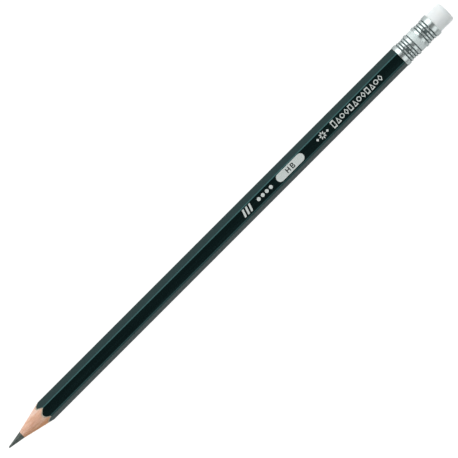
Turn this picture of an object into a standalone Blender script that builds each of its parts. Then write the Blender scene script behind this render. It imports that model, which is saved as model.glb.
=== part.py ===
"""A sharpened hexagonal graphite pencil with a ferrule and an eraser.

Metres, +Z up. The pencil lies along X with its point towards -X and one flat
facing straight down. The origin is at the middle of its length, on the plane
that the ferrule rests on. Inside each part, x is the distance from the point
and the pencil's axis is the X axis; the whole pencil is placed by its parent.
"""

import math

import bmesh
import bpy
from mathutils import Vector

# Overall
LENGTH = 0.190
ACROSS_FLATS = 0.0066
CORNER_RADIUS = 0.0008
COAT_THICKNESS = 0.00012
# Nested pieces of a 7 mm thick object, so the play between them is small too
CLEARANCE = 0.00003

# Graphite core
CORE_RADIUS = 0.0012
CORE_BARE_LENGTH = 0.0057
POINT_RADIUS = 0.00026

# Wooden casing: two grooved slats with a film of glue between them
GLUE_THICKNESS = 0.00006
SHARPENED_HALF_ANGLE = math.radians(13.2)
TENON_RADIUS = 0.0033
TENON_CHAMFER = 0.0003

# Ferrule, measured from the point
FERRULE_START = 0.1697
FERRULE_END = 0.1842
BAND_RADIUS = 0.00378
WAIST_RADIUS = 0.00358
BORE_RADIUS = 0.00336
SHEET_THICKNESS = 0.00024
COLLAR_DEPTH = 0.0012
MOUTH_DEPTH = 0.0019
WAIST_START = 0.17575
WAIST_END = 0.17795
BAND_ROUNDING = 0.0002
GROOVE_WIDTH = 0.0004
GROOVE_DEPTH = 0.00018
GROOVES_PER_BAND = 4
WOOD_BAND_FIRST_GROOVE = 0.17145
WOOD_BAND_PITCH = 0.00097
ERASER_BAND_FIRST_GROOVE = 0.17910
ERASER_BAND_PITCH = 0.00103

# Crimp dents that stake the ferrule to the wood and to the eraser
DENTS_PER_BAND = 4
DENT_DEPTH = 0.00022
DENT_BALL_RADIUS = 0.0012
DENT_ROLL = math.radians(84)

# Eraser
ERASER_RADIUS = 0.00345
ERASER_SHANK_RADIUS = 0.0033
ERASER_RIM_RADIUS = 0.0009
ERASER_CROWN = 0.00012
JOINT_IN_FERRULE = 0.1776

# Mesh fineness
OUTLINE_ARC_STEPS = 6
CORE_SEGMENTS = 40
CONE_SEGMENTS = 72
FERRULE_SEGMENTS = 48
ERASER_SEGMENTS = 48
NOSE_STEPS = 4
RIM_STEPS = 6
BALL_SEGMENTS = 16

# Derived sizes
AXIS_HEIGHT = BAND_RADIUS
CORE_HOLE_RADIUS = CORE_RADIUS + CLEARANCE
CASING_INSET = COAT_THICKNESS + CLEARANCE
SLAT_SPLIT = GLUE_THICKNESS / 2 + CLEARANCE
SHOULDER = FERRULE_START - CLEARANCE
TENON_END = JOINT_IN_FERRULE - CLEARANCE
CONE_APEX = CORE_BARE_LENGTH - CORE_HOLE_RADIUS / math.tan(SHARPENED_HALF_ANGLE)
# Wide enough to clear the body, and past both of its ends
CUTTER_RADIUS = ACROSS_FLATS
CUTTER_OVERRUN = 0.005
MERGE_DISTANCE = 1e-6
SMOOTH_ANGLE = math.radians(32)


def clear_scene():
    for obj in list(bpy.data.objects):
        bpy.data.objects.remove(obj, do_unlink=True)


def make_material(name, colour, roughness, metallic=0.0, coat=0.0):
    material = bpy.data.materials.new(name)
    material.use_nodes = True
    surface = material.node_tree.nodes["Principled BSDF"]
    surface.inputs["Base Color"].default_value = (*colour, 1.0)
    surface.inputs["Roughness"].default_value = roughness
    surface.inputs["Metallic"].default_value = metallic
    surface.inputs["Coat Weight"].default_value = coat
    material.diffuse_color = (*colour, 1.0)
    return material


def add_object(name, mesh_builder, parent, material=None):
    """Turns a filled bmesh into a named object whose x = 0 is the pencil's point."""
    mesh = bpy.data.meshes.new(name)
    bmesh.ops.recalc_face_normals(mesh_builder, faces=mesh_builder.faces)
    mesh_builder.to_mesh(mesh)
    mesh_builder.free()
    mesh.shade_smooth()
    mesh.set_sharp_from_angle(angle=SMOOTH_ANGLE)
    obj = bpy.data.objects.new(name, mesh)
    bpy.context.scene.collection.objects.link(obj)
    obj.parent = parent
    if material:
        mesh.materials.append(material)
    return obj


def add_cutter(name, mesh_builder, parent):
    cutter = add_object(name, mesh_builder, parent)
    cutter.hide_render = True
    cutter.display_type = "WIRE"
    return cutter


def cut(obj, cutter, operation):
    modifier = obj.modifiers.new(f"{operation.title()} {cutter.name}", "BOOLEAN")
    modifier.object = cutter
    modifier.operation = operation
    modifier.solver = "EXACT"


def hexagon_outline(across_flats, corner_radius):
    """Rounded hexagon in (y, z), with a flat at the top and one at the bottom."""
    centre_distance = (across_flats / 2 - corner_radius) / math.cos(math.radians(30))
    points = []
    for corner in range(6):
        direction = math.radians(60 * corner)
        centre_y = centre_distance * math.cos(direction)
        centre_z = centre_distance * math.sin(direction)
        for step in range(OUTLINE_ARC_STEPS + 1):
            turn = direction + math.radians(60 * step / OUTLINE_ARC_STEPS - 30)
            y = centre_y + corner_radius * math.cos(turn)
            z = centre_z + corner_radius * math.sin(turn)
            points.append((y, z))
    return points


def prism_along_x(outline, start, end):
    """Extrudes an outline in (y, z) along the pencil."""
    builder = bmesh.new()
    corners = [builder.verts.new((start, y, z)) for y, z in outline]
    face = builder.faces.new(corners)
    extruded = bmesh.ops.extrude_face_region(builder, geom=[face])
    moved = [item for item in extruded["geom"] if isinstance(item, bmesh.types.BMVert)]
    bmesh.ops.translate(builder, verts=moved, vec=Vector((end - start, 0, 0)))
    return builder


def sheet_along_z(outline, thickness):
    """Extrudes an outline in (x, y) evenly to both sides of the glue plane."""
    builder = bmesh.new()
    corners = [builder.verts.new((x, y, -thickness / 2)) for x, y in outline]
    face = builder.faces.new(corners)
    extruded = bmesh.ops.extrude_face_region(builder, geom=[face])
    moved = [item for item in extruded["geom"] if isinstance(item, bmesh.types.BMVert)]
    bmesh.ops.translate(builder, verts=moved, vec=Vector((0, 0, thickness)))
    return builder


def turned_about_x(profile, segments, closed=False):
    """Spins a profile in (x, radius) about the pencil's axis."""
    builder = bmesh.new()
    points = [builder.verts.new((x, 0, radius)) for x, radius in profile]
    pairs = list(zip(points, points[1:]))
    if closed:
        pairs.append((points[-1], points[0]))
    edges = [builder.edges.new(pair) for pair in pairs]
    bmesh.ops.spin(
        builder,
        geom=points + edges,
        cent=(0, 0, 0),
        axis=(1, 0, 0),
        angle=math.tau,
        steps=segments,
        use_merge=True,
    )
    bmesh.ops.remove_doubles(builder, verts=builder.verts, dist=MERGE_DISTANCE)
    return builder


def ball(centre, radius):
    builder = bmesh.new()
    bmesh.ops.create_uvsphere(
        builder, u_segments=BALL_SEGMENTS, v_segments=BALL_SEGMENTS // 2, radius=radius
    )
    bmesh.ops.translate(builder, verts=builder.verts, vec=centre)
    return builder


def arc(centre_x, centre_radius, radius, start_degrees, end_degrees, steps):
    """Points of an arc in (x, radius), both ends included."""
    points = []
    for step in range(steps + 1):
        turn = math.radians(start_degrees + (end_degrees - start_degrees) * step / steps)
        x = centre_x + radius * math.cos(turn)
        y = centre_radius + radius * math.sin(turn)
        points.append((x, y))
    return points


def cone_distance(radius):
    """Distance from the point at which the sharpened surface has a radius."""
    return CONE_APEX + radius / math.tan(SHARPENED_HALF_ANGLE)


def make_sharpening_cutter(parent):
    """What is left of a blank after sharpening its front and turning its tenon."""
    profile = [
        (CONE_APEX, 0),
        (cone_distance(CUTTER_RADIUS), CUTTER_RADIUS),
        (SHOULDER, CUTTER_RADIUS),
        (SHOULDER, TENON_RADIUS),
        (TENON_END - TENON_CHAMFER, TENON_RADIUS),
        (TENON_END, TENON_RADIUS - TENON_CHAMFER),
        (TENON_END, 0),
    ]
    return add_cutter("sharpened_envelope", turned_about_x(profile, CONE_SEGMENTS), parent)


def make_core_hole_cutter(parent):
    profile = [
        (-CUTTER_OVERRUN, 0),
        (-CUTTER_OVERRUN, CORE_HOLE_RADIUS),
        (LENGTH + CUTTER_OVERRUN, CORE_HOLE_RADIUS),
        (LENGTH + CUTTER_OVERRUN, 0),
    ]
    return add_cutter("core_hole", turned_about_x(profile, CORE_SEGMENTS), parent)


def make_slat(name, side, sharpening, core_hole, parent, material):
    """Half of the casing; side is +1 above the glue plane and -1 below it."""
    full = hexagon_outline(ACROSS_FLATS - 2 * CASING_INSET, CORNER_RADIUS - CASING_INSET)
    half = [(y, side * z) for y, z in full if z > SLAT_SPLIT]
    widest = max(y for y, z in half)
    half.insert(0, (widest, side * SLAT_SPLIT))
    half.append((-widest, side * SLAT_SPLIT))
    slat = add_object(name, prism_along_x(half, 0, LENGTH), parent, material)
    cut(slat, sharpening, "INTERSECT")
    cut(slat, core_hole, "DIFFERENCE")
    return slat


def make_glue_film(name, side, parent, material):
    """Film between the slats on one side of the core; side is +1 or -1 in y."""
    inner = CORE_HOLE_RADIUS + CLEARANCE
    outline_points = hexagon_outline(
        ACROSS_FLATS - 2 * CASING_INSET, CORNER_RADIUS - CASING_INSET
    )
    outer = max(y for y, z in outline_points) - CLEARANCE
    tenon = TENON_RADIUS - CLEARANCE
    outline = [
        (cone_distance(inner) + CLEARANCE, side * inner),
        (cone_distance(outer) + CLEARANCE, side * outer),
        (SHOULDER - CLEARANCE, side * outer),
        (SHOULDER - CLEARANCE, side * tenon),
        (TENON_END - TENON_CHAMFER, side * tenon),
        (TENON_END, side * (tenon - TENON_CHAMFER)),
        (TENON_END, side * inner),
    ]
    return add_object(name, sheet_along_z(outline, GLUE_THICKNESS), parent, material)


def make_graphite_core(parent, material):
    """Rod with a slim cone that ends in a small round nose."""
    run = CORE_BARE_LENGTH - POINT_RADIUS
    reach = math.hypot(run, CORE_RADIUS)
    slope = math.atan2(CORE_RADIUS, run) - math.asin(POINT_RADIUS / reach)
    nose_end = 90 + math.degrees(slope)
    nose = arc(POINT_RADIUS, 0, POINT_RADIUS, 180, nose_end, NOSE_STEPS)
    profile = nose + [
        (CORE_BARE_LENGTH, CORE_RADIUS),
        (TENON_END, CORE_RADIUS),
        (TENON_END, 0),
    ]
    return add_object(
        "graphite_core", turned_about_x(profile, CORE_SEGMENTS), parent, material
    )


def make_lacquer_coat(sharpening, parent, material):
    """Thin skin on the flats, whose front edge is scalloped by the sharpening."""
    outer = prism_along_x(hexagon_outline(ACROSS_FLATS, CORNER_RADIUS), 0, SHOULDER)
    coat = add_object("lacquer_coat", outer, parent, material)
    inner_outline = hexagon_outline(
        ACROSS_FLATS - 2 * COAT_THICKNESS, CORNER_RADIUS - COAT_THICKNESS
    )
    inner = prism_along_x(inner_outline, -CUTTER_OVERRUN, LENGTH + CUTTER_OVERRUN)
    hollow = add_cutter("coat_inside", inner, parent)
    cut(coat, sharpening, "INTERSECT")
    cut(coat, hollow, "DIFFERENCE")
    return coat


def groove(centre):
    """Flat-bottomed ring groove rolled into a band of the ferrule."""
    half = GROOVE_WIDTH / 2
    bottom = BAND_RADIUS - GROOVE_DEPTH
    return [
        (centre - half, BAND_RADIUS),
        (centre - half / 2, bottom),
        (centre + half / 2, bottom),
        (centre + half, BAND_RADIUS),
    ]


def groove_run(first, pitch):
    points = []
    for index in range(GROOVES_PER_BAND):
        points += groove(first + index * pitch)
    return points


def ferrule_profile():
    """Closed section of the ferrule's wall, outside first, from front to mouth."""
    rounding = BAND_ROUNDING
    outside = [
        (FERRULE_START, BAND_RADIUS - rounding / 2),
        (FERRULE_START + rounding / 2, BAND_RADIUS),
    ]
    outside += groove_run(WOOD_BAND_FIRST_GROOVE, WOOD_BAND_PITCH)
    outside += [
        (WAIST_START - rounding, BAND_RADIUS),
        (WAIST_START, BAND_RADIUS - rounding / 2),
        (WAIST_START + rounding / 2, WAIST_RADIUS),
        (WAIST_END - rounding / 2, WAIST_RADIUS),
        (WAIST_END, BAND_RADIUS - rounding / 2),
        (WAIST_END + rounding, BAND_RADIUS),
    ]
    outside += groove_run(ERASER_BAND_FIRST_GROOVE, ERASER_BAND_PITCH)
    outside += [
        (FERRULE_END - rounding / 2, BAND_RADIUS),
        (FERRULE_END, BAND_RADIUS - rounding / 2),
    ]
    end_radius = BAND_RADIUS - SHEET_THICKNESS
    step = end_radius - BORE_RADIUS
    inside = [
        (FERRULE_END, end_radius),
        (FERRULE_END - MOUTH_DEPTH + step, end_radius),
        (FERRULE_END - MOUTH_DEPTH, BORE_RADIUS),
        (FERRULE_START + COLLAR_DEPTH, BORE_RADIUS),
        (FERRULE_START + COLLAR_DEPTH - step, end_radius),
        (FERRULE_START, end_radius),
    ]
    return outside + inside


def make_ferrule(parent, material):
    body = turned_about_x(ferrule_profile(), FERRULE_SEGMENTS, closed=True)
    ferrule = add_object("ferrule", body, parent, material)
    ball_distance = BAND_RADIUS - DENT_DEPTH + DENT_BALL_RADIUS
    middle = (GROOVES_PER_BAND - 1) / 2
    bands = {
        "wood": WOOD_BAND_FIRST_GROOVE + middle * WOOD_BAND_PITCH,
        "eraser": ERASER_BAND_FIRST_GROOVE + middle * ERASER_BAND_PITCH,
    }
    for band, x in bands.items():
        for index in range(DENTS_PER_BAND):
            turn = DENT_ROLL + math.tau * index / DENTS_PER_BAND
            y = ball_distance * math.cos(turn)
            z = ball_distance * math.sin(turn)
            dent = ball(Vector((x, y, z)), DENT_BALL_RADIUS)
            cutter = add_cutter(f"dent_{band}_{index + 1}", dent, parent)
            cut(ferrule, cutter, "DIFFERENCE")
    return ferrule


def make_eraser_plug(parent, material):
    """Cylinder with a rounded rim, squeezed slightly smaller inside the ferrule."""
    front = JOINT_IN_FERRULE + CLEARANCE
    head_start = FERRULE_END - MOUTH_DEPTH + 2 * (ERASER_RADIUS - ERASER_SHANK_RADIUS)
    rim_x = LENGTH - ERASER_CROWN - ERASER_RIM_RADIUS
    rim = arc(rim_x, ERASER_RADIUS - ERASER_RIM_RADIUS, ERASER_RIM_RADIUS, 90, 0, RIM_STEPS)
    profile = [
        (front, 0),
        (front, ERASER_SHANK_RADIUS - CLEARANCE),
        (front + CLEARANCE, ERASER_SHANK_RADIUS),
        (head_start - (ERASER_RADIUS - ERASER_SHANK_RADIUS), ERASER_SHANK_RADIUS),
        (head_start, ERASER_RADIUS),
    ]
    profile += rim
    profile.append((LENGTH, 0))
    return add_object(
        "eraser_plug", turned_about_x(profile, ERASER_SEGMENTS), parent, material
    )


def make_pencil():
    clear_scene()
    pencil = bpy.data.objects.new("pencil", None)
    pencil.location = (-LENGTH / 2, 0, AXIS_HEIGHT)
    bpy.context.scene.collection.objects.link(pencil)

    wood = make_material("Cedar wood", (0.74, 0.47, 0.31), roughness=0.6)
    graphite = make_material("Graphite", (0.075, 0.085, 0.08), roughness=0.38, metallic=0.3)
    glue = make_material("White glue", (0.72, 0.60, 0.42), roughness=0.45)
    lacquer = make_material("Black lacquer", (0.004, 0.009, 0.008), roughness=0.15, coat=0.6)
    aluminium = make_material("Aluminium", (0.86, 0.88, 0.88), roughness=0.16, metallic=1.0)
    vinyl = make_material("White vinyl", (0.84, 0.86, 0.86), roughness=0.55)

    sharpening = make_sharpening_cutter(pencil)
    core_hole = make_core_hole_cutter(pencil)
    make_slat("upper_slat", 1, sharpening, core_hole, pencil, wood)
    make_slat("lower_slat", -1, sharpening, core_hole, pencil, wood)
    make_glue_film("glue_film_left", 1, pencil, glue)
    make_glue_film("glue_film_right", -1, pencil, glue)
    make_graphite_core(pencil, graphite)
    make_lacquer_coat(sharpening, pencil, lacquer)
    make_ferrule(pencil, aluminium)
    make_eraser_plug(pencil, vinyl)


make_pencil()
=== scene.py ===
"""Looks of a sharpened graphite pencil with a ferrule and an eraser.

Metres, +Z up. The pencil lies along X with its point towards -X. The fine pieces
below stand for the plain solids of the frame, in the same places and sizes.
"""

import math

import bmesh
import bpy
from mathutils import Matrix, Vector, noise


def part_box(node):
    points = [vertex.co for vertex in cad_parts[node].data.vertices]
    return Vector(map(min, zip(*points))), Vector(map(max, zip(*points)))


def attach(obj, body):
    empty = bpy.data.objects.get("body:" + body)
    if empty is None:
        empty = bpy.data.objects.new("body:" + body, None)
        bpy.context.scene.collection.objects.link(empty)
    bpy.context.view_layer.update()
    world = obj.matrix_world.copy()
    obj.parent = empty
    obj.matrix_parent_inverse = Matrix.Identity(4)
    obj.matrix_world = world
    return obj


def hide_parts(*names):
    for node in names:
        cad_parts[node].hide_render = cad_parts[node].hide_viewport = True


MM = 0.001

# Camera: straight above the pencil, rolled a little about its axis
CAMERA_ROLL = math.radians(8.0)
PENCIL_ANGLE_IN_VIEW = math.radians(45.0)
CAMERA_LENS = 400.0
CAMERA_SENSOR = 36.0
VIEW_WIDTH = 140.7 * MM
VIEW_SHIFT_RIGHT = 0.37 * MM
VIEW_SHIFT_UP = 0.01 * MM

# Light
FLOOR_HALF_SIZE = 8.0
FLOOR_GLOW = 0.95
FLOOR_SHOWN_ALBEDO = 0.2
TABLE_ALBEDO = 0.88
WORLD_DIM = 0.11
WORLD_HORIZON = 1.0
# Heights on the unit sphere between which the horizon's light fades
HORIZON_FADE_START = 0.06
HORIZON_FADE_END = 0.2
SOFTBOX_LENGTH = 2.1
SOFTBOX_DISTANCE = 1.0

# Body
COAT_THICKNESS = 0.12 * MM
PLAY = 0.03 * MM
CORNER_RADIUS = 0.8 * MM
FLAT_CROWN = 0.014 * MM
COAT_EDGE_ROUNDING = 0.04 * MM
COAT_EDGE_RAGGEDNESS = 0.09 * MM
COAT_EDGE_STEPS = 3
# Behind the scallops the body is a plain prism
PRISM_SETBACK = 0.5 * MM
CORNER_STEPS = 12
FLAT_STEPS = 16
COAT_ROWS = 40

# Wood
GLUE_THICKNESS = 0.06 * MM
WOOD_FIBRE_RELIEF = 0.012 * MM
WOOD_WAVE_RELIEF = 0.012 * MM
WOOD_SETBACK = 0.012 * MM
CUTTER_MARK_RELIEF = 0.003 * MM
CUTTER_MARK_PITCH = 0.42 * MM
CONE_ROWS = 90

# Graphite
NOSE_RADIUS = 0.27 * MM
CORE_SEGMENTS = 96
NOSE_STEPS = 9
CORE_CONE_STEPS = 60

# Ferrule; places along it are distances from its own front edge
SHEET_THICKNESS = 0.24 * MM
COLLAR_DEPTH = 1.0 * MM
MOUTH_DEPTH = 1.6 * MM
NECKING_LENGTH = 0.4 * MM
GROOVE_DEPTH = 0.3 * MM
GROOVE_WIDTH = 0.6 * MM
GROOVE_FLOOR = 0.22 * MM
WAIST_DEPTH = 0.2 * MM
WAIST_FROM = 6.05 * MM
WAIST_TO = 8.25 * MM
SHOULDER_WIDTH = 0.16 * MM
WOOD_BAND_GROOVES = [1.75 * MM + index * 0.97 * MM for index in range(4)]
ERASER_BAND_GROOVES = [9.40 * MM + index * 1.03 * MM for index in range(4)]
DENT_RADIUS = 1.7 * MM
DENT_DEPTH = 0.34 * MM
DEEPEST = 0.38 * MM
DENTS_PER_BAND = 4
DENT_ROLL = math.radians(84)
FERRULE_SEGMENTS = 180
FERRULE_ROWS = 280
LIP_STEPS = 8

# Eraser
ERASER_RIM = 0.9 * MM
ERASER_CROWN = 0.12 * MM
ERASER_SQUEEZE = 0.17 * MM
# The wear starts just inside the ferrule's mouth
ERASER_ROWS_START = 0.6 * MM
ERASER_WEAR_START = 0.5 * MM
ERASER_SEGMENTS = 144
ERASER_ROWS = 40
ERASER_RIM_STEPS = 12

# Foil imprint; places along it are distances from the point
FOIL_THICKNESS = 0.008 * MM
FOIL_LIFT = 0.004 * MM
IMPRINT_OFFSET = 0.25 * MM
WELD_DISTANCE = 0.0005 * MM
SLASHES_START = 101.2 * MM
DOTS_START = 107.6 * MM
GRADE_START = 116.2 * MM
ROSETTE_START = 133.2 * MM
FIGURES_START = 140.0 * MM


# ---------------------------------------------------------------- frame


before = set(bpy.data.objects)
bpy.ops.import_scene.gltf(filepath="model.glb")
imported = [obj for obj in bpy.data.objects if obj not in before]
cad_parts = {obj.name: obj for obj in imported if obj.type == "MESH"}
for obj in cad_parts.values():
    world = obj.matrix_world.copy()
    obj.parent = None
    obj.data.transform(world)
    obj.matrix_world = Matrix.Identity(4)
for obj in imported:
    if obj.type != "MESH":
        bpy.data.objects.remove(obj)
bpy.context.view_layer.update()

core_low, core_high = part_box("graphite_core")
slat_low, slat_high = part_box("upper_slat")
coat_low, coat_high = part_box("lacquer_coat")
ferrule_low, ferrule_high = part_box("ferrule")
eraser_low, eraser_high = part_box("eraser_plug")

AXIS_Z = (coat_low.z + coat_high.z) / 2
POINT_X = core_low.x
CORE_RADIUS = (core_high.y - core_low.y) / 2
HOLE_RADIUS = CORE_RADIUS + PLAY
FLAT_DISTANCE = (coat_high.z - coat_low.z) / 2
CONE_SLOPE = (FLAT_DISTANCE - COAT_THICKNESS - HOLE_RADIUS) / (coat_low.x - slat_low.x)
BODY_END = coat_high.x
BAND_RADIUS = (ferrule_high.z - ferrule_low.z) / 2
NECK_RADIUS = BAND_RADIUS - WAIST_DEPTH - SHEET_THICKNESS
ERASER_RADIUS = (eraser_high.y - eraser_low.y) / 2


# ---------------------------------------------------------------- mesh helpers


def on_axis(x, y, z):
    """A point given by its offsets from the pencil's axis."""
    return Vector((x, y, AXIS_Z + z))


def polar(x, turn, radius):
    return on_axis(x, radius * math.cos(turn), radius * math.sin(turn))


def cone_x(radius):
    """Where the sharpened surface has this radius."""
    return slat_low.x + (radius - HOLE_RADIUS) / CONE_SLOPE


def turns(count):
    """Equal steps of one whole turn, in radians."""
    return [math.tau * index / count for index in range(count)]


def loft(rings, wrap=False, cap_start=False, cap_end=False):
    """Quads between successive rings of points; wrap joins the last ring to the first."""
    builder = bmesh.new()
    rows = [[builder.verts.new(point) for point in ring] for ring in rings]
    pairs = list(zip(rows, rows[1:]))
    if wrap:
        pairs.append((rows[-1], rows[0]))
    for near, far in pairs:
        for index in range(len(near)):
            after = (index + 1) % len(near)
            builder.faces.new((near[index], near[after], far[after], far[index]))
    builder.faces.ensure_lookup_table()
    for row, wanted in ((rows[0], cap_start), (rows[-1], cap_end)):
        if wanted:
            middle = sum((vert.co for vert in row), Vector()) / len(row)
            pole = builder.verts.new(middle)
            for index in range(len(row)):
                builder.faces.new((row[index], row[(index + 1) % len(row)], pole))
    return builder


def add_piece(name, builder, material, stands_for=None, sharp_degrees=40):
    """Turns a filled bmesh into a piece, which may stand for a node of the frame."""
    bmesh.ops.recalc_face_normals(builder, faces=builder.faces)
    mesh = bpy.data.meshes.new(name)
    builder.to_mesh(mesh)
    builder.free()
    mesh.shade_smooth()
    mesh.set_sharp_from_angle(angle=math.radians(sharp_degrees))
    mesh.materials.append(material)
    piece = bpy.data.objects.new(name, mesh)
    bpy.context.scene.collection.objects.link(piece)
    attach(piece, "root")
    if stands_for:
        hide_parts(stands_for)
    return piece


def steps_between(start, end, count):
    return [start + (end - start) * index / count for index in range(count + 1)]


def smooth_step(value, low, high):
    share = min(1.0, max(0.0, (value - low) / (high - low)))
    return share * share * (3 - 2 * share)


def wander(x, y, z=0.0):
    """Smooth noise from about -1 to 1."""
    return noise.noise(Vector((x, y, z)))


# ---------------------------------------------------------------- material helpers


class Nodes:
    """A material's node tree, with short calls for the nodes that repeat."""

    def __init__(self, name, **sockets):
        self.material = bpy.data.materials.new(name)
        self.material.use_nodes = True
        self.tree = self.material.node_tree
        self.surface = self.tree.nodes["Principled BSDF"]
        for socket, value in sockets.items():
            self.set(socket.replace("_", " ").title(), value)
        self.place = self.add("ShaderNodeTexCoord").outputs["Object"]

    def set(self, socket, value):
        self.surface.inputs["IOR" if socket == "Ior" else socket].default_value = value

    def add(self, kind, **settings):
        node = self.tree.nodes.new(kind)
        for setting, value in settings.items():
            setattr(node, setting, value)
        return node

    def link(self, output, target):
        self.tree.links.new(output, target)

    def drive(self, socket, output):
        self.link(output, self.surface.inputs[socket])

    def stretched(self, per_metre):
        """Object coordinates multiplied along each axis."""
        mapping = self.add("ShaderNodeMapping")
        mapping.inputs["Scale"].default_value = per_metre
        self.link(self.place, mapping.inputs["Vector"])
        return mapping.outputs["Vector"]

    def noise(self, per_metre, detail=3.0, roughness=0.5, distortion=0.0):
        """Noise whose features are about 1 / per_metre long along each axis."""
        node = self.add("ShaderNodeTexNoise")
        node.inputs["Scale"].default_value = 1.0
        node.inputs["Detail"].default_value = detail
        node.inputs["Roughness"].default_value = roughness
        node.inputs["Distortion"].default_value = distortion
        self.link(self.stretched(per_metre), node.inputs["Vector"])
        return node.outputs["Fac"]

    def spots(self, per_metre):
        """Distance from scattered points, 0 at each point."""
        node = self.add("ShaderNodeTexVoronoi")
        node.inputs["Scale"].default_value = 1.0
        self.link(self.stretched(per_metre), node.inputs["Vector"])
        return node.outputs["Distance"]

    def ramp(self, factor, *stops):
        """Colours at places from 0 to 1; each stop is (place, colour)."""
        node = self.add("ShaderNodeValToRGB")
        elements = node.color_ramp.elements
        while len(elements) < len(stops):
            elements.new(0.5)
        for element, (place, colour) in zip(elements, stops):
            element.position = place
            element.color = (*colour, 1.0)
        self.link(factor, node.inputs["Fac"])
        return node.outputs["Color"]

    def remap(self, factor, low, high, from_low=0.0, from_high=1.0):
        """A value that runs from low to high while the factor runs from from_low to from_high."""
        node = self.add("ShaderNodeMapRange")
        node.inputs["From Min"].default_value = from_low
        node.inputs["From Max"].default_value = from_high
        node.inputs["To Min"].default_value = low
        node.inputs["To Max"].default_value = high
        self.link(factor, node.inputs["Value"])
        return node.outputs["Result"]

    def from_axis(self):
        """Distance from the pencil's axis."""
        mapping = self.add("ShaderNodeMapping")
        mapping.inputs["Scale"].default_value = (0, 1, 1)
        mapping.inputs["Location"].default_value = (0, 0, -AXIS_Z)
        self.link(self.place, mapping.inputs["Vector"])
        node = self.add("ShaderNodeVectorMath", operation="LENGTH")
        self.link(mapping.outputs["Vector"], node.inputs[0])
        return node.outputs["Value"]

    def blend(self, factor, first, second):
        """Two colour outputs mixed by a factor that varies."""
        output = self.mix(0.5, first, second)
        self.link(factor, output.node.inputs["Factor"])
        return output

    def mix(self, factor, first, second, blend="MIX"):
        """Two colour outputs mixed by a constant factor."""
        node = self.add("ShaderNodeMix", data_type="RGBA", blend_type=blend)
        node.inputs["Factor"].default_value = factor
        self.link(first, node.inputs[6])
        self.link(second, node.inputs[7])
        return node.outputs[2]

    def bump(self, *layers):
        """Each layer is (height output, relief in metres), and they add up."""
        below = None
        for height, relief in layers:
            node = self.add("ShaderNodeBump")
            node.inputs["Distance"].default_value = relief
            self.link(height, node.inputs["Height"])
            if below:
                self.link(below, node.inputs["Normal"])
            below = node.outputs["Normal"]
        self.drive("Normal", below)


# ---------------------------------------------------------------- materials


def lacquer_material():
    """Black lacquer with a green cast, flowed thin over wood."""
    nodes = Nodes("Black lacquer", ior=1.66, specular_tint=(0.38, 0.98, 1.0, 1.0))
    clouds = nodes.noise((60, 900, 900), detail=4)
    base = nodes.ramp(clouds, (0.3, (0.0010, 0.0020, 0.0018)), (0.75, (0.0018, 0.0036, 0.0034)))
    nodes.drive("Base Color", base)
    haze = nodes.noise((40, 1500, 1500), detail=5, roughness=0.6)
    nodes.drive("Roughness", nodes.remap(haze, 0.08, 0.2, 0.3, 0.7))
    flow = nodes.noise((110, 450, 450), detail=2)
    fibres = nodes.noise((250, 5000, 5000), detail=3)
    peel = nodes.noise((1800, 1800, 1800), detail=2)
    nodes.bump((flow, 0.006 * MM), (fibres, 0.0006 * MM), (peel, 0.0008 * MM))
    return nodes.material


def primer_material():
    """Pale ground under the lacquer, seen only where the sharpening cuts through it."""
    nodes = Nodes("Primer", roughness=0.7, ior=1.45)
    smears = nodes.noise((900, 2200, 2200), detail=3)
    colour = nodes.ramp(smears, (0.3, (0.30, 0.25, 0.18)), (0.65, (0.62, 0.55, 0.44)))
    nodes.drive("Base Color", colour)
    nodes.bump((smears, 0.004 * MM))
    return nodes.material


def wood_material():
    """Bare pencil wood, with fine straight grain along the pencil, and painted shade that darkens and
    warms it towards -Y.
    """
    nodes = Nodes("Cedar wood", roughness=0.62, ior=1.45, subsurface_weight=0.06)
    nodes.set("Subsurface Radius", (0.6 * MM, 0.3 * MM, 0.2 * MM))
    nodes.set("Subsurface Scale", 1.0)
    broad = nodes.noise((45, 620, 260), detail=3, distortion=0.6)
    fine = nodes.noise((220, 4200, 4200), detail=5, roughness=0.6)
    pores = nodes.spots((700, 6500, 6500))
    early = nodes.ramp(
        broad,
        (0.28, (0.82, 0.45, 0.28)),
        (0.45, (0.92, 0.60, 0.45)),
        (0.58, (0.96, 0.71, 0.60)),
        (0.74, (0.88, 0.53, 0.36)),
    )
    streaks = nodes.ramp(fine, (0.30, (0.80, 0.71, 0.65)), (0.62, (1.0, 1.0, 1.0)))
    grain = nodes.mix(0.75, early, streaks, "MULTIPLY")
    pits = nodes.ramp(pores, (0.10, (0.62, 0.46, 0.36)), (0.32, (1.0, 1.0, 1.0)))
    # Painted shade: darker and warmer towards -Y, pale towards +Y, where the key light comes from.
    split = nodes.add("ShaderNodeSeparateXYZ")
    nodes.link(nodes.place, split.inputs["Vector"])
    side = nodes.remap(split.outputs["Y"], 0.0, 1.0, -2.2 * MM, 2.4 * MM)
    painted_side_shade = nodes.ramp(
        side,
        (0.0, (0.88, 0.74, 0.53)),
        (0.5, (0.97, 0.93, 0.92)),
        (1.0, (1.0, 1.0, 1.0)),
    )
    grain_with_painted_shade = nodes.mix(1.0, grain, painted_side_shade, "MULTIPLY")
    nodes.drive("Base Color", nodes.mix(0.6, grain_with_painted_shade, pits, "MULTIPLY"))
    nodes.drive("Roughness", nodes.remap(fine, 0.5, 0.75))
    nodes.bump((fine, 0.03 * MM), (pores, 0.01 * MM))
    return nodes.material


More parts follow.
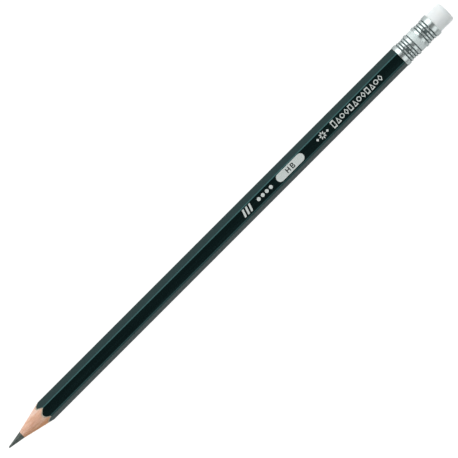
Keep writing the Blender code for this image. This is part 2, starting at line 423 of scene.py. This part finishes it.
def graphite_material():
    """Sharpened graphite: a grey sheen with fine turning marks round it."""
    nodes = Nodes("Graphite", metallic=0.35, ior=1.6)
    rings = nodes.noise((9000, 500, 500), detail=2)
    smear = nodes.noise((700, 2600, 2600), detail=4)
    colour = nodes.ramp(
        smear,
        (0.3, (0.045, 0.062, 0.054)),
        (0.55, (0.085, 0.11, 0.098)),
        (0.75, (0.13, 0.16, 0.145)),
    )
    nodes.drive("Base Color", colour)
    nodes.drive("Roughness", nodes.remap(rings, 0.28, 0.5, 0.3, 0.7))
    nodes.bump((rings, 0.008 * MM), (smear, 0.006 * MM))
    return nodes.material


def aluminium_material():
    """Rolled sheet with fine marks round it, duller where pressed in, with painted shade darkening the
    deep grooves and dents.
    """
    nodes = Nodes("Rolled aluminium", metallic=1.0, ior=1.5)
    marks = nodes.noise((7000, 260, 260), detail=3)
    dull = nodes.noise((600, 700, 700), detail=4, roughness=0.6)
    sheet = nodes.ramp(dull, (0.3, (0.60, 0.685, 0.675)), (0.6, (0.69, 0.765, 0.76)))
    pressed = nodes.ramp(dull, (0.3, (0.76, 0.83, 0.825)), (0.6, (0.84, 0.90, 0.895)))
    # Painted shade: the base colour goes dark in the deep grooves and dents, where shade falls.
    painted_groove_shade = nodes.ramp(dull, (0.3, (0.09, 0.12, 0.12)), (0.6, (0.20, 0.25, 0.25)))
    radius = nodes.from_axis()
    outside_groove_shade = nodes.remap(radius, 0.0, 1.0, BAND_RADIUS - 0.27 * MM, BAND_RADIUS - 0.22 * MM)
    raised = nodes.remap(radius, 0.0, 1.0, BAND_RADIUS - 0.2 * MM, BAND_RADIUS - 0.08 * MM)
    nodes.drive("Base Color", nodes.blend(outside_groove_shade, painted_groove_shade, nodes.blend(raised, pressed, sheet)))
    nodes.drive("Roughness", nodes.remap(raised, 0.8, 0.33))
    ripple = nodes.noise((500, 500, 500), detail=2)
    nodes.bump((marks, 0.0008 * MM), (ripple, 0.004 * MM))
    return nodes.material


def vinyl_material():
    """White eraser: matt and a little translucent, with faint patches."""
    nodes = Nodes("White vinyl", roughness=0.6, ior=1.4, subsurface_weight=0.2)
    nodes.set("Subsurface Radius", (1.2 * MM, 1.1 * MM, 1.0 * MM))
    nodes.set("Subsurface Scale", 1.0)
    patches = nodes.noise((260, 260, 260), detail=4)
    colour = nodes.ramp(patches, (0.3, (0.86, 0.93, 0.93)), (0.65, (0.91, 0.96, 0.96)))
    nodes.drive("Base Color", colour)
    grain = nodes.noise((5200, 5200, 5200), detail=4, roughness=0.6)
    moulding = nodes.noise((3000, 90, 90), detail=2)
    nodes.drive("Roughness", nodes.remap(grain, 0.55, 0.75))
    nodes.bump((grain, 0.006 * MM), (moulding, 0.004 * MM))
    return nodes.material


def glue_material():
    """White wood glue, dried yellowish."""
    nodes = Nodes("White glue", roughness=0.45, ior=1.45)
    drops = nodes.noise((900, 900, 900), detail=3)
    colour = nodes.ramp(drops, (0.3, (0.62, 0.45, 0.28)), (0.7, (0.78, 0.62, 0.44)))
    nodes.drive("Base Color", colour)
    nodes.bump((drops, 0.004 * MM))
    return nodes.material


def foil_material():
    """Hot-stamped silver foil, slightly broken up by the lacquer below."""
    nodes = Nodes("Silver foil", metallic=0.55, ior=1.5)
    worn = nodes.noise((3800, 3800, 3800), detail=4, roughness=0.65)
    colour = nodes.ramp(
        worn,
        (0.26, (0.42, 0.48, 0.47)),
        (0.42, (0.78, 0.86, 0.83)),
        (0.70, (0.92, 0.97, 0.95)),
    )
    nodes.drive("Base Color", colour)
    nodes.drive("Roughness", nodes.remap(worn, 0.6, 0.42))
    nodes.bump((worn, 0.004 * MM))
    return nodes.material


# ---------------------------------------------------------------- body


def hexagon(flat_distance, corner_radius, crown):
    """Rounded hexagon in (y, z), its flats slightly crowned, with one at the top and bottom."""
    centre_distance = (flat_distance - corner_radius) / math.cos(math.radians(30))
    points = []
    for side in range(6):
        corner = math.radians(60 * side)
        centre = Vector((math.cos(corner), math.sin(corner))) * centre_distance
        for step in range(CORNER_STEPS):
            turn = corner + math.radians(60 * step / CORNER_STEPS - 30)
            points.append(centre + Vector((math.cos(turn), math.sin(turn))) * corner_radius)
        facing = corner + math.radians(30)
        outward = Vector((math.cos(facing), math.sin(facing)))
        along = Vector((-outward.y, outward.x))
        half = centre_distance / 2
        for step in range(FLAT_STEPS):
            place = 2 * step / FLAT_STEPS - 1
            bulge = crown * (1 - place * place)
            points.append(outward * (flat_distance + bulge) + along * half * place)
    return points


def ragged(point):
    """How far the coat's edge stands back from a neat cut."""
    chips = wander(point.x * 5200, point.y * 5200, 3.7)
    wear = wander(point.x * 1500, point.y * 1500, 9.1)
    return COAT_EDGE_RAGGEDNESS * max(0.0, 0.35 + 0.6 * chips + 0.5 * wear)


def make_coat(material, primer):
    """The lacquer's skin; its cut front edge shows the primer."""
    outer = hexagon(FLAT_DISTANCE - FLAT_CROWN, CORNER_RADIUS, FLAT_CROWN)
    inner = hexagon(
        FLAT_DISTANCE - COAT_THICKNESS - FLAT_CROWN, CORNER_RADIUS - COAT_THICKNESS, FLAT_CROWN
    )
    edge = [cone_x(point.length) + ragged(point) for point in outer]
    under = [cone_x(point.length) + ragged(point) for point in inner]

    def ring(outline, places, shrink=0.0):
        points = []
        for point, x in zip(outline, places):
            drawn = point * (1 - shrink / point.length)
            points.append(on_axis(x, drawn.x, drawn.y))
        return points

    rings = [ring(inner, under)]
    for step in range(COAT_EDGE_STEPS + 1):
        turn = math.radians(90 * step / COAT_EDGE_STEPS)
        back = COAT_EDGE_ROUNDING * (1 - math.cos(turn))
        shrink = COAT_EDGE_ROUNDING * (1 - math.sin(turn))
        rings.append(ring(outer, [x + back for x in edge], shrink))
    rings.append(ring(outer, [x + 3 * COAT_EDGE_ROUNDING for x in edge]))
    for x in steps_between(max(edge) + PRISM_SETBACK, BODY_END, COAT_ROWS):
        rings.append(ring(outer, [x] * len(outer)))
    rings.append(ring(inner, [BODY_END] * len(inner)))
    builder = loft(rings, wrap=True)
    for face in builder.faces[: len(outer)]:
        face.material_index = 1
    coat = add_piece("coat", builder, material, "lacquer_coat")
    coat.data.materials.append(primer)
    return coat


def fibre_relief(x, turn, radius):
    """Torn fibres and cutter marks on the sharpened wood."""
    y = radius * math.cos(turn)
    z = radius * math.sin(turn)
    fibres = wander(x * 350, y * 4200, z * 4200)
    cutter = math.sin(math.tau * (x / CUTTER_MARK_PITCH + turn / math.tau))
    waves = wander(x * 260, y * 700, z * 700)
    return WOOD_FIBRE_RELIEF * fibres + CUTTER_MARK_RELIEF * cutter + WOOD_WAVE_RELIEF * waves


def make_casing(name, side, material, stands_for):
    """One slat: the whole hexagonal blank is lofted, then cut at the glue plane."""
    inset = COAT_THICKNESS + PLAY
    outline = hexagon(FLAT_DISTANCE - inset - FLAT_CROWN, CORNER_RADIUS - inset, FLAT_CROWN)
    angles = [math.atan2(point.y, point.x) for point in outline]
    tenon = [min(point.length, NECK_RADIUS - PLAY) for point in outline]
    rings = [[polar(slat_high.x, turn, HOLE_RADIUS) for turn in angles]]
    rings.append([polar(slat_low.x + 0.05 * MM, turn, HOLE_RADIUS) for turn in angles])
    for row in range(CONE_ROWS + 1):
        share = (row / CONE_ROWS) ** 0.9
        ring = []
        for point, turn in zip(outline, angles):
            radius = HOLE_RADIUS + (point.length - HOLE_RADIUS) * share
            fade = min(1.0, 12 * share, 14 * (1 - share))
            x = cone_x(radius)
            relief = fibre_relief(x, turn, radius) * fade - WOOD_SETBACK
            lowered = max(HOLE_RADIUS, radius + min(0.0, relief))
            ring.append(polar(x, turn, lowered))
        rings.append(ring)
    cone_end = max(cone_x(point.length) for point in outline)
    for x in steps_between(cone_end + PRISM_SETBACK, BODY_END, 4):
        rings.append([on_axis(x, point.x, point.y) for point in outline])
    for x in (BODY_END + PLAY, slat_high.x):
        rings.append([polar(x, turn, radius) for turn, radius in zip(angles, tenon)])
    builder = loft(rings, wrap=True)
    gap = GLUE_THICKNESS / 2 + PLAY
    cut = bmesh.ops.bisect_plane(
        builder,
        geom=builder.verts[:] + builder.edges[:] + builder.faces[:],
        plane_co=(0, 0, AXIS_Z + side * gap),
        plane_no=(0, 0, side),
        clear_inner=True,
    )
    border = [item for item in cut["geom_cut"] if isinstance(item, bmesh.types.BMEdge)]
    bmesh.ops.edgenet_fill(builder, edges=border)
    return add_piece(name, builder, material, stands_for, sharp_degrees=50)


def make_core(material):
    """The graphite rod with its sharpened cone and a worn round nose."""
    around = turns(CORE_SEGMENTS)
    nose = NOSE_RADIUS
    bare = slat_low.x - POINT_X
    run = bare - nose
    slope = math.atan2(CORE_RADIUS, run) - math.asin(nose / math.hypot(run, CORE_RADIUS))
    tangent_x = nose - nose * math.sin(slope)
    tangent_radius = nose * math.cos(slope)
    profile = []
    for step in range(1, NOSE_STEPS + 1):
        turn = (math.pi / 2 - slope) * step / NOSE_STEPS
        profile.append((nose - nose * math.cos(turn), nose * math.sin(turn)))
    for step in range(1, CORE_CONE_STEPS + 1):
        share = step / CORE_CONE_STEPS
        x = tangent_x + (bare - tangent_x) * share
        profile.append((x, tangent_radius + (CORE_RADIUS - tangent_radius) * share))
    rings = []
    for x, radius in profile:
        ring = []
        for turn in around:
            mark = wander(x * 5200, 0.35 * math.cos(turn), 0.35 * math.sin(turn))
            scrape = wander(x * 700, 4 * math.cos(turn), 4 * math.sin(turn))
            change = (0.006 * mark + 0.010 * scrape - 0.008) * MM
            ring.append(polar(POINT_X + x, turn, max(0.02 * MM, radius + min(0.0, change))))
        rings.append(ring)
    rings.append([polar(core_high.x, turn, CORE_RADIUS) for turn in around])
    builder = loft(rings, cap_start=True, cap_end=True)
    return add_piece("core", builder, material, "graphite_core")


# ---------------------------------------------------------------- ferrule and eraser


def band_depth(along):
    """How far the rolled profile lies below the bands, at a distance from the front edge."""
    depth = 0.0
    # The waist's front edge is creased like a groove
    for centre in WOOD_BAND_GROOVES + [WAIST_FROM] + ERASER_BAND_GROOVES:
        offset = abs(along - centre)
        if offset < GROOVE_WIDTH / 2:
            wall = smooth_step(offset, GROOVE_FLOOR / 2, GROOVE_WIDTH / 2)
            depth = max(depth, GROOVE_DEPTH * (1 - wall))
    into = smooth_step(along, WAIST_FROM - SHOULDER_WIDTH / 2, WAIST_FROM + SHOULDER_WIDTH / 2)
    out = smooth_step(along, WAIST_TO - SHOULDER_WIDTH / 2, WAIST_TO + SHOULDER_WIDTH / 2)
    return max(depth, WAIST_DEPTH * (into - out))


def dent_depth(along, turn):
    """Crimp dents, evenly spaced round the middle of each band."""
    depth = 0.0
    for grooves in (WOOD_BAND_GROOVES, ERASER_BAND_GROOVES):
        middle = (grooves[0] + grooves[-1]) / 2
        for index in range(DENTS_PER_BAND):
            aim = DENT_ROLL + math.tau * index / DENTS_PER_BAND
            swing = math.remainder(turn - aim, math.tau) * BAND_RADIUS
            distance = math.hypot(along - middle, swing) / DENT_RADIUS
            if distance < 1:
                depth += DENT_DEPTH * (1 - distance * distance) ** 2
    return depth


def make_ferrule(material):
    """A tube with rolled lips, wide at both ends and narrower inside."""
    around = turns(FERRULE_SEGMENTS)
    length = ferrule_high.x - ferrule_low.x
    lip = SHEET_THICKNESS / 2
    rows = steps_between(lip, length - lip, FERRULE_ROWS)

    def ring(along, radius_at):
        return [polar(ferrule_low.x + along, turn, radius_at(turn)) for turn in around]

    def outside(along):
        band = band_depth(along)
        return ring(
            along, lambda turn: BAND_RADIUS - min(DEEPEST, band + dent_depth(along, turn))
        )

    def lip_rings(centre_along, direction):
        rings = []
        middle = BAND_RADIUS - lip
        for step in range(1, LIP_STEPS):
            turn = math.pi * step / LIP_STEPS
            along = centre_along + direction * lip * math.sin(turn)
            radius = middle + lip * math.cos(turn)
            rings.append(ring(along, lambda _, radius=radius: radius))
        return rings

    inner_radius = BAND_RADIUS - SHEET_THICKNESS
    rings = [outside(along) for along in rows]
    rings += lip_rings(rows[-1], 1)
    for along, radius in (
        (length - lip, inner_radius),
        (length - MOUTH_DEPTH, inner_radius),
        (length - MOUTH_DEPTH - NECKING_LENGTH, NECK_RADIUS),
        (COLLAR_DEPTH + NECKING_LENGTH, NECK_RADIUS),
        (COLLAR_DEPTH, inner_radius),
        (lip, inner_radius),
    ):
        rings.append(ring(along, lambda _, radius=radius: radius))
    rings += list(reversed(lip_rings(rows[0], -1)))
    builder = loft(rings, wrap=True)
    return add_piece("ferrule_tube", builder, material, "ferrule", sharp_degrees=60)


def make_eraser(material):
    """The plug, squeezed thinner inside the ferrule and a little worn outside it."""
    around = turns(ERASER_SEGMENTS)
    rim = ERASER_RIM
    shank = ERASER_RADIUS - ERASER_SQUEEZE
    mouth = ferrule_high.x
    face = eraser_high.x - ERASER_CROWN
    profile = [
        (eraser_low.x, 0.2 * MM),
        (eraser_low.x, shank),
        (mouth - MOUTH_DEPTH, shank),
        (mouth - MOUTH_DEPTH + NECKING_LENGTH, ERASER_RADIUS),
    ]
    for x in steps_between(mouth - ERASER_ROWS_START, face - rim, ERASER_ROWS):
        profile.append((x, ERASER_RADIUS))
    for step in range(1, ERASER_RIM_STEPS + 1):
        turn = math.radians(90 * step / ERASER_RIM_STEPS)
        profile.append(
            (face - rim + rim * math.sin(turn), ERASER_RADIUS - rim + rim * math.cos(turn))
        )
    for step in range(1, ERASER_RIM_STEPS):
        share = step / ERASER_RIM_STEPS
        radius = (ERASER_RADIUS - rim) * (1 - share)
        profile.append((face + ERASER_CROWN * (1 - (1 - share) ** 2), radius))
    rings = []
    for x, radius in profile:
        ring = []
        for turn in around:
            lump = wander(x * 500, 1.6 * math.cos(turn), 1.6 * math.sin(turn))
            fine = wander(x * 2600, 9 * math.cos(turn), 9 * math.sin(turn))
            change = (0.012 * lump + 0.006 * fine - 0.014) * MM
            worn = radius + min(0.0, change) if x > mouth - ERASER_WEAR_START else radius
            ring.append(polar(x, turn, max(0.05 * MM, worn)))
        rings.append(ring)
    builder = loft(rings, cap_start=True, cap_end=True)
    return add_piece("eraser", builder, material, "eraser_plug")


# ---------------------------------------------------------------- foil imprint


def polygon(*points):
    return [Vector(point) for point in points]


def bar(left, bottom, right, top, lean=0.0):
    return polygon((left, bottom), (right, bottom), (right + lean, top), (left + lean, top))


def circle(x, radius):
    return [Vector((x + radius * math.cos(turn), radius * math.sin(turn))) for turn in turns(24)]


def pill(left, right, height):
    """A bar with half-round ends."""
    radius = height / 2
    points = []
    for centre, start in ((right - radius, -90), (left + radius, 90)):
        for step in range(13):
            turn = math.radians(start + 180 * step / 12)
            points.append(Vector((centre + radius * math.cos(turn), radius * math.sin(turn))))
    return points


def outlined(loop, share):
    """A loop and the smaller loop that leaves a stroke between them."""
    centre = sum(loop, Vector((0, 0))) / len(loop)
    return [loop, [centre + (point - centre) * share for point in loop]]


def letter_h(left, height, width, stroke):
    """One outline, anticlockwise from the foot of the left stem."""
    low, high = -height / 2, height / 2
    beam = stroke / 2
    right = left + width
    return [
        polygon(
            (left, low), (left + stroke, low), (left + stroke, -beam), (right - stroke, -beam),
            (right - stroke, low), (right, low), (right, high), (right - stroke, high),
            (right - stroke, beam), (left + stroke, beam), (left + stroke, high), (left, high),
        )
    ]


def letter_b(left, height, width, stroke):
    """Stem and two bowls, with a counter in each bowl."""

    def bowl(inner_left, bottom, top, reach):
        radius = (top - bottom) / 2
        points = [Vector((inner_left, bottom))]
        for step in range(9):
            turn = math.radians(-90 + 180 * step / 8)
            x = reach - radius + radius * math.cos(turn)
            points.append(Vector((x, bottom + radius + radius * math.sin(turn))))
        points.append(Vector((inner_left, top)))
        return points

    low, high = -height / 2, height / 2
    right = left + width
    lower = bowl(left, low, 0.0, right)
    upper = bowl(left, 0.0, high, right - stroke * 0.3)
    waist = Vector((min(lower[-2].x, upper[1].x), 0.0))
    outline = lower[:-2] + [waist] + upper[2:]
    half = stroke / 2
    holes = [
        bowl(left + stroke, low + stroke, -half, right - stroke),
        bowl(left + stroke, half, high - stroke, right - stroke * 1.3),
    ]
    return [outline, *holes]


def add_foil(name, first_x, loops, material):
    """Loops in (along, across) from first_x, pressed flat on the upper side."""
    curve = bpy.data.curves.new(name, "CURVE")
    curve.dimensions = "2D"
    curve.fill_mode = "BOTH"
    curve.extrude = FOIL_THICKNESS / 2
    for loop in loops:
        spline = curve.splines.new("POLY")
        spline.points.add(len(loop) - 1)
        spline.use_cyclic_u = True
        for place, point in zip(spline.points, loop):
            place.co = (point.x, point.y, 0, 1)
    pattern = bpy.data.objects.new(name, curve)
    builder = bmesh.new()
    builder.from_mesh(pattern.to_mesh())
    bpy.data.objects.remove(pattern)
    bpy.data.curves.remove(curve)
    bmesh.ops.remove_doubles(builder, verts=builder.verts, dist=WELD_DISTANCE)
    bmesh.ops.dissolve_degenerate(builder, edges=builder.edges, dist=WELD_DISTANCE)
    top = AXIS_Z + FLAT_DISTANCE + FOIL_LIFT + FOIL_THICKNESS / 2
    place = Vector((POINT_X + first_x, IMPRINT_OFFSET, top))
    bmesh.ops.translate(builder, verts=builder.verts, vec=place)
    return add_piece(name, builder, material)


def make_rosette():
    """Eight petals round a middle, between two small lozenges."""
    centre = Vector((2.65 * MM, 0.0))
    petal = polygon((0.35 * MM, 0), (0.8 * MM, -0.26 * MM), (1.35 * MM, 0), (0.8 * MM, 0.26 * MM))
    wing = polygon((1.6 * MM, 0), (2.1 * MM, -0.5 * MM), (2.6 * MM, 0), (2.1 * MM, 0.5 * MM))
    loops = []
    for turn in turns(8):
        aim = Matrix.Rotation(turn, 2)
        loops.append([centre + aim @ point for point in petal])
    for side in (-1, 1):
        loops.append([centre + point * side for point in wing])
    return loops


def make_figures():
    """A row of outlined boxes, triangles, rings and lozenges in turn."""
    pitch = 1.82 * MM
    loops = []
    for index in range(12):
        left = index * pitch
        middle = left + 0.72 * MM
        tall = 1.3 * MM if index == 0 else 1.05 * MM
        if index % 4 == 0:
            loops += outlined(bar(left, -tall, left + 1.35 * MM, tall), 0.62)
        elif index % 4 == 1:
            triangle = polygon((left, -tall), (left + 1.5 * MM, -tall), (middle, tall))
            loops += outlined(triangle, 0.5)
        elif index % 4 == 2:
            loops += outlined(circle(middle, 0.8 * MM), 0.62)
        else:
            reach = 0.75 * MM
            lozenge = polygon((middle - reach, 0), (middle, -tall), (middle + reach, 0), (middle, tall))
            loops += outlined(lozenge, 0.58)
    return loops


def make_imprint(material):
    """A generic imprint: slashes, dots, the hardness grade, a rosette and plain figures."""
    slashes = []
    for index in range(3):
        left = index * 1.35 * MM
        slashes.append(bar(left, -1.2 * MM, left + 0.7 * MM, 1.2 * MM, lean=0.8 * MM))
    add_foil("imprint_slashes", SLASHES_START, slashes, material)

    dots = [circle(index * 1.75 * MM + 0.6 * MM, 0.62 * MM) for index in range(4)]
    add_foil("imprint_dots", DOTS_START, dots, material)

    height = 1.7 * MM
    stroke = 0.32 * MM
    grade = [pill(0.0, 11.3 * MM, 2.7 * MM)]
    grade += letter_h(4.0 * MM, height, 1.35 * MM, stroke)
    grade += letter_b(6.0 * MM, height, 1.3 * MM, stroke)
    add_foil("imprint_grade", GRADE_START, grade, material)

    add_foil("imprint_rosette", ROSETTE_START, make_rosette(), material)
    add_foil("imprint_figures", FIGURES_START, make_figures(), material)


# ---------------------------------------------------------------- studio


def grey(level):
    return (level, level, level, 1.0)


def aimed(place, right, up, back):
    """Matrix of a camera or light at a place, which looks along minus back."""
    return Matrix.Translation(place) @ Matrix((right, up, back)).transposed().to_4x4()


def make_floor():
    """A plain floor, shown white, which lights the pencil like a plain pale table."""
    builder = bmesh.new()
    corners = ((-1, -1), (1, -1), (1, 1), (-1, 1))
    builder.faces.new(
        [builder.verts.new((x * FLOOR_HALF_SIZE, y * FLOOR_HALF_SIZE, 0)) for x, y in corners]
    )
    mesh = bpy.data.meshes.new("floor")
    builder.to_mesh(mesh)
    builder.free()
    floor = bpy.data.objects.new("floor", mesh)
    bpy.context.scene.collection.objects.link(floor)
    nodes = Nodes("White table", roughness=0.9, base_color=grey(FLOOR_SHOWN_ALBEDO))
    nodes.set("Specular IOR Level", 0.0)
    nodes.set("Emission Color", grey(1.0))
    nodes.set("Emission Strength", FLOOR_GLOW)
    table = nodes.add("ShaderNodeBsdfDiffuse")
    table.inputs["Color"].default_value = grey(TABLE_ALBEDO)
    chooser = nodes.add("ShaderNodeMixShader")
    nodes.link(nodes.add("ShaderNodeLightPath").outputs["Is Camera Ray"], chooser.inputs[0])
    nodes.link(table.outputs["BSDF"], chooser.inputs[1])
    nodes.link(nodes.surface.outputs["BSDF"], chooser.inputs[2])
    nodes.link(chooser.outputs["Shader"], nodes.tree.nodes["Material Output"].inputs["Surface"])
    mesh.materials.append(nodes.material)


def make_world():
    """Dim above and pale near the horizon, as in a white room with a dark ceiling."""
    world = bpy.data.worlds.new("Studio")
    world.use_nodes = True
    bpy.context.scene.world = world
    tree = world.node_tree
    background = tree.nodes["Background"]
    place = tree.nodes.new("ShaderNodeTexCoord")
    split = tree.nodes.new("ShaderNodeSeparateXYZ")
    height = tree.nodes.new("ShaderNodeMapRange")
    height.interpolation_type = "SMOOTHSTEP"
    height.inputs["From Min"].default_value = HORIZON_FADE_START
    height.inputs["From Max"].default_value = HORIZON_FADE_END
    height.inputs["To Min"].default_value = WORLD_HORIZON
    height.inputs["To Max"].default_value = WORLD_DIM
    tree.links.new(place.outputs["Generated"], split.inputs["Vector"])
    tree.links.new(split.outputs["Z"], height.inputs["Value"])
    tree.links.new(height.outputs["Result"], background.inputs["Color"])


def add_softbox(name, lean_degrees, width, radiance):
    """An area light that leans from straight above towards +Y, aimed at the origin."""
    lean = math.radians(lean_degrees)
    outward = Vector((0, math.sin(lean), math.cos(lean)))
    light = bpy.data.lights.new(name, "AREA")
    light.shape = "RECTANGLE"
    light.size = SOFTBOX_LENGTH
    light.size_y = width
    light.energy = radiance * math.pi * width * SOFTBOX_LENGTH
    lamp = bpy.data.objects.new(name, light)
    across = Vector((1, 0, 0))
    lamp.matrix_world = aimed(
        outward * SOFTBOX_DISTANCE, across, outward.cross(across), outward
    )
    bpy.context.scene.collection.objects.link(lamp)


def make_camera():
    """A long lens above the pencil, turned so that the pencil runs up to the right."""
    camera = bpy.data.cameras.new("camera")
    camera.lens = CAMERA_LENS
    camera.sensor_width = CAMERA_SENSOR
    distance = VIEW_WIDTH * CAMERA_LENS / CAMERA_SENSOR
    camera.clip_start = distance / 10
    camera.clip_end = distance * 20
    back = Vector((0, math.sin(CAMERA_ROLL), math.cos(CAMERA_ROLL)))
    along = Vector((1, 0, 0))
    across = back.cross(along)
    turn = PENCIL_ANGLE_IN_VIEW
    right = along * math.cos(turn) - across * math.sin(turn)
    up = along * math.sin(turn) + across * math.cos(turn)
    aim = Vector((0, 0, AXIS_Z)) + right * VIEW_SHIFT_RIGHT + up * VIEW_SHIFT_UP
    viewer = bpy.data.objects.new("camera", camera)
    viewer.matrix_world = aimed(aim + back * distance, right, up, back)
    bpy.context.scene.collection.objects.link(viewer)
    bpy.context.scene.camera = viewer


# ---------------------------------------------------------------- build


bpy.context.scene.view_settings.view_transform = "Standard"
make_camera()
make_world()
make_floor()
add_softbox("softbox_key", lean_degrees=58, width=0.96, radiance=1.9)
add_softbox("softbox_fill", lean_degrees=-38, width=0.86, radiance=1.02)

wood = wood_material()
make_coat(lacquer_material(), primer_material())
make_casing("casing_upper", 1, wood, "upper_slat")
make_casing("casing_lower", -1, wood, "lower_slat")
make_core(graphite_material())
make_ferrule(aluminium_material())
make_eraser(vinyl_material())
make_imprint(foil_material())

glue = glue_material()
for node_name in ("glue_film_left", "glue_film_right"):
    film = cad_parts[node_name]
    for material_slot in film.material_slots:
        material_slot.material = glue
